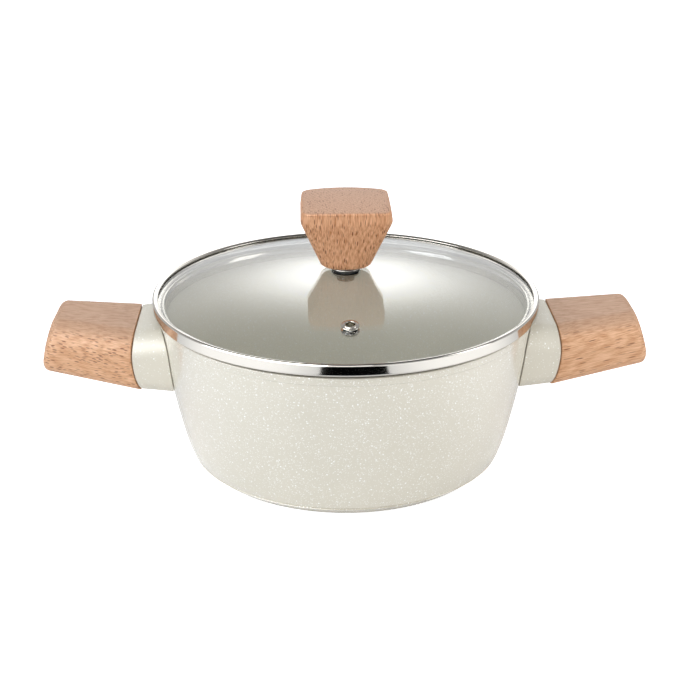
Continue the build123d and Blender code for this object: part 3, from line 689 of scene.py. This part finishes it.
# Steam vent: gasket, eyelet with a flange and a rolled collar round its mouth, rolled over the ring under the glass
def makeVent():
    underSphere = domeRadius - lid["glassThickness"]
    ringTop = -lid["glassThickness"] - underSphere + sqrt(underSphere ** 2 - vent["ringRadius"] ** 2)
    ringBottom = ringTop - vent["ringHeight"]
    rollBottom = ringBottom - vent["rollHeight"]
    base = vent["gasketHeight"]
    step = base + vent["flangeHeight"]
    crest = step + vent["collarHeight"]
    gasket = roundedPath([(vent["hole"], 0), (vent["gasketRadius"], 0), (vent["gasketRadius"], base),
                          (vent["hole"], base)], [0.05, 0.15, 0.15, 0.05], arcSteps=5)
    ring = roundedPath([(vent["hole"], ringBottom), (vent["ringRadius"], ringBottom), (vent["ringRadius"], ringTop),
                        (vent["hole"], ringTop)], [0.1, 0.25, 0.25, 0.1], arcSteps=5)
    eyelet = roundedPath(
        [(vent["bore"], rollBottom), (vent["bore"], crest), (vent["collar"], crest), (vent["collar"], step),
         (vent["flange"], step), (vent["flange"], base), (vent["tube"], base), (vent["tube"], ringBottom),
         (vent["rollRadius"], ringBottom), (vent["rollRadius"], rollBottom)],
        [0.2, 0.3, 0.24, 0.2, 0.25, 0.1, 0.05, 0.05, 0.3, 0.3])
    for name, profile, slot, finish, node in (
            ("ventGasket", gasket, "silicone", silicone, "vent_gasket"),
            ("ventRing", ring, "polished_steel", polished, "vent_ring"),
            ("ventEyelet", eyelet, "polished_steel", polished, "vent_eyelet")):
        dressPiece(turnedPiece(name, profile, 96, True, ventMiddle, ventTilt), "lid", slot, finish, node)


knob = dict(
    plateRadius=7.8, plateHeight=0.5, gasketRadius=8.4, gasketHeight=1.3, screwHole=2.7,
    height=36.8, insertBore=4.05, insertDepth=16.0,
    base=dict(width=25.8, depth=24.0, bulge=4.5, corner=5.0),
    shoulder=dict(height=28.4, width=48.4, depth=47.4, bulge=3.2, corner=4.5, softness=1.0),
    top=dict(width=46.4, depth=50.0, bulge=2.5, corner=4.5),
    baseRound=2.0, topRound=1.0, crownRadius=250.0, grainShift=(0, -40, 60),
    figure=dict(light="#E9B48C", dark="#B5764B", length=5.4, width=0.9, share=0.6, top=0.7),
)
gasketFloor = lid["glassTop"] + knob["plateHeight"]
knobFloor = gasketFloor + knob["gasketHeight"]


# A size of the knob's section at a height: two straight tapers that meet at the shoulder, joined by a hyperbola,
# shoulder + upper slope * x + (lower slope - upper slope) * (x - sqrt(x^2 + softness^2)) / 2
def knobTaper(key, height):
    base, shoulder, top = knob["base"], knob["shoulder"], knob["top"]
    lowerSlope = (shoulder[key] - base[key]) / shoulder["height"]
    upperSlope = (top[key] - shoulder[key]) / (knob["height"] - shoulder["height"])
    x = height - shoulder["height"]
    bend = (x - np.sqrt(x * x + shoulder["softness"] ** 2)) / 2
    return shoulder[key] + upperSlope * x + (lowerSlope - upperSlope) * bend


# Outline of the knob at a height: a rounded rectangle whose front and back bow out by
# bulge * (1 - (x / half width)^2), taken in all round by the inset
def knobOutline(height, inset):
    half, face, bulge, corner = (float(knobTaper(key, height)) for key in ("width", "depth", "bulge", "corner"))
    half, face, corner = half / 2 - inset, face / 2 - inset, corner - 0.8 * inset
    flat = face - bulge
    x, y = roundedPath([(-half, -flat), (half, -flat), (half, flat), (-half, flat)], [corner] * 4, arcSteps=9,
                       runShares=np.linspace(0, 1, 26)[1:-1]).T
    return np.stack([x, y + y / flat * bulge * (1 - (x / half) ** 2)], -1)


# Knob: outlines from base to shoulder to top under a crown, height - r^2 / (2 crown radius); what is above
# the shoulder is drawn down to meet the crown
def makeKnob():
    baseRound, topRound, shoulder = knob["baseRound"], knob["topRound"], knob["shoulder"]["height"]
    turn = np.linspace(0, pi / 2, 8)
    sideTop = knob["height"] - topRound

    def outlines(heights, insets):
        return np.stack([knobOutline(h, i) for h, i in zip(heights, insets)])

    def crown(points):
        return knob["height"] - (points ** 2).sum(-1) / (2 * knob["crownRadius"])

    lowLevels = baseRound * (1 - np.cos(turn))
    levels = np.concatenate([np.linspace(baseRound, shoulder - 3.6, 26)[1:],
                             np.linspace(shoulder - 3, shoulder + 3, 21),
                             np.linspace(shoulder + 3.6, sideTop, 7)[:-1]])
    low = outlines(lowLevels, baseRound * (1 - np.sin(turn)))
    side = outlines(levels, 0 * levels)
    high = outlines(0 * turn + knob["height"], topRound * (1 - np.cos(turn)))
    drawnDown = np.clip((levels - shoulder) / (sideTop - shoulder), 0, 1)[:, None] * (crown(high[0]) - knob["height"])
    cap = high[-1] * np.array([0.97, 0.9, 0.75, 0.6, 0.45, 0.3, 0.15, 0])[:, None, None]
    angle = np.arctan2(low[0, :, 1], low[0, :, 0])
    bore = knob["insertBore"] * np.stack([np.cos(angle), np.sin(angle)], -1)
    floor = np.concatenate([np.stack([0 * bore, bore, bore]), rowsBetween(bore, low[0], (0.4, 0.95))])
    floorLevels = np.array([knob["insertDepth"], knob["insertDepth"], 0, 0, 0])[:, None]
    flat = np.concatenate([floor, low, side, high, cap])
    height = np.concatenate([floorLevels + 0 * angle, lowLevels[:, None] + 0 * angle, levels[:, None] + drawnDown,
                             crown(high) - topRound * (1 - np.sin(turn))[:, None], crown(cap)])
    piece = gridPiece("knobBody", np.concatenate([flat, knobFloor + height[..., None]], -1))
    wood = beechWood("knobBeech", (0, radians(90), 0), knob["grainShift"], knob["figure"])
    dressPiece(piece, "lid", "beech", wood, "knob")


# Steel plate and gasket under the knob, both plain turned discs with rounded edges
def makeKnobSeat():
    for name, radius, floor, high, slot, finish, node in (
            ("knobPlate", knob["plateRadius"], lid["glassTop"], knob["plateHeight"],
             "polished_steel", polished, "knob_plate"),
            ("knobGasket", knob["gasketRadius"], gasketFloor, knob["gasketHeight"],
             "silicone", silicone, "knob_gasket")):
        profile = roundedPath([(knob["screwHole"], floor), (radius, floor), (radius, floor + high),
                               (knob["screwHole"], floor + high)], [0.1, 0.15, 0.3, 0.1], arcSteps=5)
        dressPiece(turnedPiece(name, profile, 128), "lid", slot, finish, node)


makeBand()
makeGlass()
makeVent()
makeKnob()
makeKnobSeat()
print("lid made")

# The CAD nodes that stay: disc, studs, bolts, washers and the fixings of the knob
for node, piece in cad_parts.items():
    if not piece.hide_render:
        piece.data.materials.clear()
        piece.data.materials.append(
            brass if node == "knob_insert" else silicone if node == "lower_gasket" else turnedSteel)

view = dict(place=(-22.84, -719.64, 354.9), pitch=22.458, yaw=2.0, lens=72.75, sensor=36.0)
camera = bpy.data.objects.new("camera", bpy.data.cameras.new("camera"))
camera.data.lens, camera.data.sensor_width = view["lens"], view["sensor"]
camera.location = [v * mm for v in view["place"]]
camera.rotation_euler = (radians(90 - view["pitch"]), 0, radians(-view["yaw"]))
bpy.context.scene.collection.objects.link(camera)
bpy.context.scene.camera = camera

studio = dict(
    floorSize=8000.0, floorColour="#F4F4F4", floorLift=0.75, mirrorLift=0.75, mirrorFrom=120, mirrorTo=-100,
    mirrorMiddle=11, mirrorNear=20, mirrorFar=220,
    sky=dict(low=0.7, high=0.12, fallFrom=0.40, fallTo=0.78),  # bright up to a height of the direction, dim above
    glow=dict(azimuth=2.5, elevation=25.5, width=6.8, height=8.6, level=3.0),  # soft bright spot behind, degrees
    lamps=dict(
        top=dict(place=(-150, 100, 1300), aim=(0, 0, 60), size=(1000, 900), watts=3.0, tint="#EFF7FF", mirrored=False),
        left=dict(place=(-1100, -500, 650), aim=(0, 0, 50), size=(700, 900), watts=6.0, tint="#EAF3FF", mirrored=True),
        right=dict(place=(1200, -350, 600), aim=(0, 0, 50), size=(500, 900), watts=4.4, tint="#FFFFFF", mirrored=True),
        front=dict(place=(-100, -1500, 700), aim=(0, 0, 80), size=(900, 500), watts=3.7, tint="#FFFFFF", mirrored=True),
        high=dict(place=(0, -900, 1200), aim=(0, 0, 60), size=(900, 500), watts=4.3, tint="#F5FAFF", mirrored=False),
    ),
    darkCard=dict(centre=(11, -365, 1.0), size=(168, 230)),
    shineCard=dict(near=(-190, -880), far=(-900, -100), high=900, level=6.5),
)


# A flat rectangle facing up, centred at a place
def flatCard(name, centre, size, finish):
    x, y = size[0] / 2, size[1] / 2
    corners = np.array([(-x, -y, 0), (x, -y, 0), (x, y, 0), (-x, y, 0)]) + centre
    mesh = bpy.data.meshes.new(name)
    mesh.from_pydata((corners * mm).tolist(), [], [(0, 1, 2, 3)])
    mesh.materials.append(finish)
    card = bpy.data.objects.new(name, mesh)
    bpy.context.scene.collection.objects.link(card)
    return card


# Matt white studio floor: a lift for rays that show the background keeps it white, shadows still show;
# mirrored in the pot it is lifted only in front, and less in the middle
def studioFloor():
    finish, tree, shader, place = newFinish("whiteFloor", {
        "Base Color": linearColour(studio["floorColour"]), "Roughness": 0.9, "Specular IOR Level": 0.0,
        "Emission Color": (1, 1, 1, 1)})
    path = addNode(tree, "ShaderNodeLightPath")
    shown = addNode(tree, "ShaderNodeMath", {"operation": "MAXIMUM"},
                    {0: path.outputs["Is Camera Ray"], 1: path.outputs["Is Transmission Ray"]})
    spot = addNode(tree, "ShaderNodeSeparateXYZ", links={0: place})
    front = addNode(tree, "ShaderNodeMapRange",
                    {"interpolation_type": "SMOOTHSTEP", "From Min": studio["mirrorFrom"] * mm,
                     "From Max": studio["mirrorTo"] * mm, "To Max": studio["mirrorLift"]}, {"Value": spot.outputs["Y"]})
    aside = addNode(tree, "ShaderNodeMath", {"operation": "SUBTRACT", 1: studio["mirrorMiddle"] * mm},
                    {0: spot.outputs["X"]})
    distance = addNode(tree, "ShaderNodeMath", {"operation": "ABSOLUTE"}, {0: aside})
    beside = addNode(tree, "ShaderNodeMapRange",
                     {"interpolation_type": "SMOOTHSTEP", "From Min": studio["mirrorNear"] * mm,
                      "From Max": studio["mirrorFar"] * mm}, {"Value": distance})
    seen = addNode(tree, "ShaderNodeMath", {"operation": "MULTIPLY"}, {0: beside, 1: path.outputs["Is Glossy Ray"]})
    mirrored = addNode(tree, "ShaderNodeMath", {"operation": "MULTIPLY"}, {0: front, 1: seen})
    lift = addNode(tree, "ShaderNodeMath", {"operation": "MULTIPLY_ADD", 1: studio["floorLift"]},
                   {0: shown, 2: mirrored})
    tree.links.new(lift.outputs[0], shader.inputs["Emission Strength"])
    return finish


# White round the horizon, dim overhead, and a soft bright spot behind: exp(-((u / width)^2 + (v / height)^2) / 2),
# u and v sideways and up from its middle; the camera sees plain white
def studioWorld():
    world = bpy.data.worlds.new("studioWorld")
    bpy.context.scene.world = world
    world.use_nodes = True
    tree = world.node_tree
    tree.nodes.clear()
    sky, glow = studio["sky"], studio["glow"]
    direction = addNode(tree, "ShaderNodeTexCoord").outputs["Generated"]
    up = addNode(tree, "ShaderNodeSeparateXYZ", links={0: direction}).outputs["Z"]
    fall = addNode(tree, "ShaderNodeMapRange",
                   {"interpolation_type": "SMOOTHSTEP", "From Min": sky["fallFrom"], "From Max": sky["fallTo"],
                    "To Min": sky["low"], "To Max": sky["high"]}, {"Value": up})
    azimuth, elevation = radians(glow["azimuth"]), radians(glow["elevation"])
    sideways = np.array([cos(azimuth), -sin(azimuth), 0]) / radians(glow["width"])
    upwards = np.array([-sin(azimuth) * sin(elevation), -cos(azimuth) * sin(elevation), cos(elevation)])
    upwards /= radians(glow["height"])
    u, v = (addNode(tree, "ShaderNodeVectorMath", {"operation": "DOT_PRODUCT", 1: way}, {0: direction}).outputs["Value"]
            for way in (sideways, upwards))
    uu = addNode(tree, "ShaderNodeMath", {"operation": "MULTIPLY"}, {0: u, 1: u})
    both = addNode(tree, "ShaderNodeMath", {"operation": "MULTIPLY_ADD"}, {0: v, 1: v, 2: uu})
    spot = addNode(tree, "ShaderNodeMath", {"operation": "EXPONENT"},
                   {0: addNode(tree, "ShaderNodeMath", {"operation": "MULTIPLY", 1: -0.5}, {0: both})})
    light = addNode(tree, "ShaderNodeMath", {"operation": "MULTIPLY_ADD", 1: glow["level"]}, {0: spot, 2: fall})
    path = addNode(tree, "ShaderNodeLightPath")
    strength = addNode(tree, "ShaderNodeMath", {"operation": "MAXIMUM"}, {0: light, 1: path.outputs["Is Camera Ray"]})
    backdrop = addNode(tree, "ShaderNodeBackground", {"Color": (1, 1, 1, 1)}, {"Strength": strength})
    addNode(tree, "ShaderNodeOutputWorld", links={"Surface": backdrop})


# An upright white screen at the left that only shows mirrored, as the pale gloss on the pot's left half
def shineCard():
    card = studio["shineCard"]
    finish, _, _, _ = newFinish("whiteScreen", {"Base Color": (0, 0, 0, 1), "Specular IOR Level": 0.0,
                                                "Emission Color": (1, 1, 1, 1), "Emission Strength": card["level"]})
    (nearX, nearY), (farX, farY), high = card["near"], card["far"], card["high"]
    corners = np.array([(nearX, nearY, 0), (farX, farY, 0), (farX, farY, high), (nearX, nearY, high)])
    screen = flatCard("whiteScreen", (0, 0, 0), (1, 1), finish)
    screen.data.vertices.foreach_set("co", (corners * mm).ravel())
    screen.visible_camera = screen.visible_diffuse = screen.visible_transmission = screen.visible_shadow = False


# A soft rectangular lamp turned to face its aim
def softLamp(name, place, aim, size, watts, tint, mirrored):
    data = bpy.data.lights.new(name, "AREA")
    data.shape = "RECTANGLE"
    data.size, data.size_y = size[0] * mm, size[1] * mm
    data.energy, data.color = watts, linearColour(tint)[:3]
    lamp = bpy.data.objects.new(name, data)
    lamp.location = [p * mm for p in place]
    lamp.visible_glossy = mirrored
    toAim = Vector([a - p for a, p in zip(aim, place)])
    lamp.rotation_euler = toAim.to_track_quat("-Z", "Y").to_euler()
    bpy.context.scene.collection.objects.link(lamp)


flatCard("floor", (0, 0, -0.3), (studio["floorSize"],) * 2, studioFloor())
darkFinish, _, _, _ = newFinish("blackCard", {"Base Color": linearColour("#040404"), "Specular IOR Level": 0.0})
darkCard = flatCard("darkCard", studio["darkCard"]["centre"], studio["darkCard"]["size"], darkFinish)
darkCard.visible_camera = darkCard.visible_diffuse = darkCard.visible_shadow = False
shineCard()
studioWorld()
for name, lamp in studio["lamps"].items():
    softLamp(name + "Lamp", **lamp)
bpy.context.scene.view_settings.view_transform = "Standard"
print("studio made")
